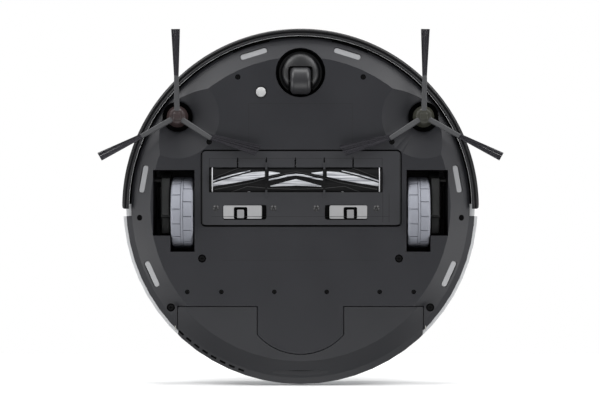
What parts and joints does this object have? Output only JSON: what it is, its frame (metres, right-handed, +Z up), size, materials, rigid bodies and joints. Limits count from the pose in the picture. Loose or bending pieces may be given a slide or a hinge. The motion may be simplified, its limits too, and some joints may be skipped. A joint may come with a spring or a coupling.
{
  "type": "robot vacuum",
  "caption": "Low round robot vacuum with a roller brush, side brushes, sprung drive wheels, a caster, a laser turret, a lift-out dust bin and a rear water tank.",
  "frame": {"origin": "on the floor under the middle of the body, standing on its wheels", "axes": "+Z up, +Y towards the bumper, -X is the robot's left"},
  "size_m": [0.3984, 0.3527, 0.0963],
  "materials": {
    "tray": "fine moulded texture, dark grey",
    "cover": "satin, dark grey",
    "bumper": "glossy, near black",
    "white_shell": "satin white",
    "latch": "satin, mid grey",
    "lens": "smooth, light grey, lets infrared through",
    "tyre": "matt, light bluish grey",
    "dark_plastic": "semi-gloss, black",
    "roller_rubber": "matt, black with white bristle rows",
    "sweeper": "stiff plastic arms with nylon bristles",
    "smoked": "smooth smoked plastic",
    "steel": "bright steel",
    "motor": "plated steel can",
    "board": "circuit board",
    "battery": "cells in a plastic wrap; the metal gives their weight",
    "filter": "pleated filter paper"
  },
  "bodies": {
    "root": {"base_shell": "tray", "cliff_window_front_left": "lens", "cliff_window_side_left": "lens", "cliff_window_rear_left": "lens", "cliff_window_front_right": "lens", "cliff_window_side_right": "lens", "cliff_window_rear_right": "lens", "carpet_sensor": "lens", "top_cover": "white_shell", "lid_hinge_pin": "steel", "bumper_switch_left": "dark_plastic", "bumper_switch_right": "dark_plastic", "arm_pivot_pin_left": "steel", "arm_pivot_pin_right": "steel", "suspension_spring_left": "steel", "suspension_spring_right": "steel", "side_brush_motor_left": "motor", "side_brush_motor_right": "motor", "brush_end_cap": "dark_plastic", "brush_housing": "dark_plastic", "brush_gearbox": "dark_plastic", "brush_motor": "motor", "turret_cap": "white_shell", "lidar_base": "dark_plastic", "lidar_belt": "roller_rubber", "lidar_motor": "motor", "fan_housing": "dark_plastic", "fan_motor": "motor", "battery_pack": "battery", "main_board": "board"},
    "lid": {"top_lid": "white_shell"},
    "bin": {"dust_bin": "smoked", "bin_filter": "filter"},
    "bin_bail": {"bin_handle": "latch"},
    "start_key": {"start_button": "white_shell"},
    "home_key": {"home_button": "white_shell"},
    "front_bumper": {"bumper": "bumper"},
    "arm_left": {"wheel_arm_left": "dark_plastic", "wheel_motor_left": "motor"},
    "arm_right": {"wheel_arm_right": "dark_plastic", "wheel_motor_right": "motor"},
    "wheel_left": {"wheel_hub_left": "dark_plastic", "wheel_tyre_left": "tyre"},
    "wheel_right": {"wheel_hub_right": "dark_plastic", "wheel_tyre_right": "tyre"},
    "caster_swivel": {"caster_fork": "dark_plastic", "caster_axle": "steel"},
    "caster_roller": {"caster_wheel": "roller_rubber"},
    "sweeper_left": {"side_brush_left": "sweeper"},
    "sweeper_right": {"side_brush_right": "sweeper"},
    "roller": {"main_brush": "roller_rubber"},
    "guard": {"brush_cover": "cover"},
    "latch_left": {"cover_latch_left": "latch"},
    "latch_right": {"cover_latch_right": "latch"},
    "tank": {"water_tank": "tray", "tank_plug": "roller_rubber"},
    "laser": {"lidar_spinner": "dark_plastic"},
    "laser_pulley": {"lidar_pulley": "dark_plastic"},
    "impeller": {"fan_impeller": "dark_plastic"}
  },
  "joints": [
    {"name": "lid_hinge", "type": "hinge", "parent": "root", "child": "lid", "pos_m": [0, -0.116, 0.077], "axis": [1, 0, 0], "range_deg": [0, 78]},
    {"name": "bin_lift", "type": "slide", "parent": "root", "child": "bin", "axis": [0, 0, 1], "range_m": [0, 0.064]},
    {"name": "handle_hinge", "type": "hinge", "parent": "bin", "child": "bin_bail", "pos_m": [0, -0.033, 0.0736], "axis": [1, 0, 0], "range_deg": [0, 88]},
    {"name": "start_press", "type": "slide", "parent": "root", "child": "start_key", "axis": [0, 0, -1], "range_m": [0, 0.0012], "stiffness_N_per_m": 800, "springref_m": -0.0006},
    {"name": "home_press", "type": "slide", "parent": "root", "child": "home_key", "axis": [0, 0, -1], "range_m": [0, 0.0012], "stiffness_N_per_m": 800, "springref_m": -0.0006},
    {"name": "bumper_press", "type": "slide", "parent": "root", "child": "front_bumper", "axis": [0, -1, 0], "range_m": [0, 0.003], "stiffness_N_per_m": 600, "springref_m": -0.002},
    {"name": "arm_drop_left", "type": "hinge", "parent": "root", "child": "arm_left", "pos_m": [-0.1367, 0.027, 0.042], "axis": [-1, 0, 0], "range_deg": [-18, 0], "stiffness_Nm_per_rad": 0.25, "springref_deg": -51.57, "deforming": ["suspension_spring_left"]},
    {"name": "wheel_spin_left", "type": "hinge", "parent": "arm_left", "child": "wheel_left", "pos_m": [-0.1168, -0.0053, 0.035], "axis": [1, 0, 0], "continuous": true},
    {"name": "arm_drop_right", "type": "hinge", "parent": "root", "child": "arm_right", "pos_m": [0.1367, 0.027, 0.042], "axis": [-1, 0, 0], "range_deg": [-18, 0], "stiffness_Nm_per_rad": 0.25, "springref_deg": -51.57, "deforming": ["suspension_spring_right"]},
    {"name": "wheel_spin_right", "type": "hinge", "parent": "arm_right", "child": "wheel_right", "pos_m": [0.1168, -0.0053, 0.035], "axis": [1, 0, 0], "continuous": true},
    {"name": "caster_swing", "type": "hinge", "parent": "root", "child": "caster_swivel", "pos_m": [0, 0.1326, 0.0135], "axis": [0, 0, 1], "continuous": true},
    {"name": "caster_roll", "type": "hinge", "parent": "caster_swivel", "child": "caster_roller", "pos_m": [0, 0.1245, 0.0135], "axis": [1, 0, 0], "continuous": true},
    {"name": "sweeper_spin_left", "type": "hinge", "parent": "root", "child": "sweeper_left", "pos_m": [-0.1215, 0.0891, 0.006], "axis": [0, 0, 1], "continuous": true},
    {"name": "sweeper_spin_right", "type": "hinge", "parent": "root", "child": "sweeper_right", "pos_m": [0.1215, 0.0891, 0.006], "axis": [0, 0, 1], "continuous": true},
    {"name": "roller_spin", "type": "hinge", "parent": "root", "child": "roller", "pos_m": [0.0046, 0.0269, 0.027], "axis": [1, 0, 0], "continuous": true},
    {"name": "guard_tilt", "type": "hinge", "parent": "root", "child": "guard", "pos_m": [0, 0.0539, 0.01], "axis": [1, 0, 0], "range_deg": [0, 40]},
    {"name": "latch_slide_left", "type": "slide", "parent": "guard", "child": "latch_left", "axis": [1, 0, 0], "range_m": [0, 0.004], "stiffness_N_per_m": 200, "springref_m": -0.002},
    {"name": "latch_slide_right", "type": "slide", "parent": "guard", "child": "latch_right", "axis": [-1, 0, 0], "range_m": [0, 0.004], "stiffness_N_per_m": 200, "springref_m": -0.002},
    {"name": "tank_pull", "type": "slide", "parent": "root", "child": "tank", "axis": [0, -1, 0], "range_m": [0, 0.085]},
    {"name": "laser_spin", "type": "hinge", "parent": "root", "child": "laser", "pos_m": [0, 0.045, 0.0793], "axis": [0, 0, 1], "continuous": true},
    {"name": "laser_pulley_spin", "type": "hinge", "parent": "root", "child": "laser_pulley", "pos_m": [0.0433, 0.07, 0.069], "axis": [0, 0, 1], "continuous": true},
    {"name": "impeller_spin", "type": "hinge", "parent": "root", "child": "impeller", "pos_m": [0.045, -0.093, 0.038], "axis": [0, 0, 1], "continuous": true}
  ],
  "couplings": [
    {"joint": "bin_lift", "follows": "lid_hinge", "m_per_rad": 0.047},
    {"joint": "handle_hinge", "follows": "lid_hinge", "ratio": 1.1},
    {"joint": "laser_pulley_spin", "follows": "laser_spin", "ratio": 6.6}
  ]
}
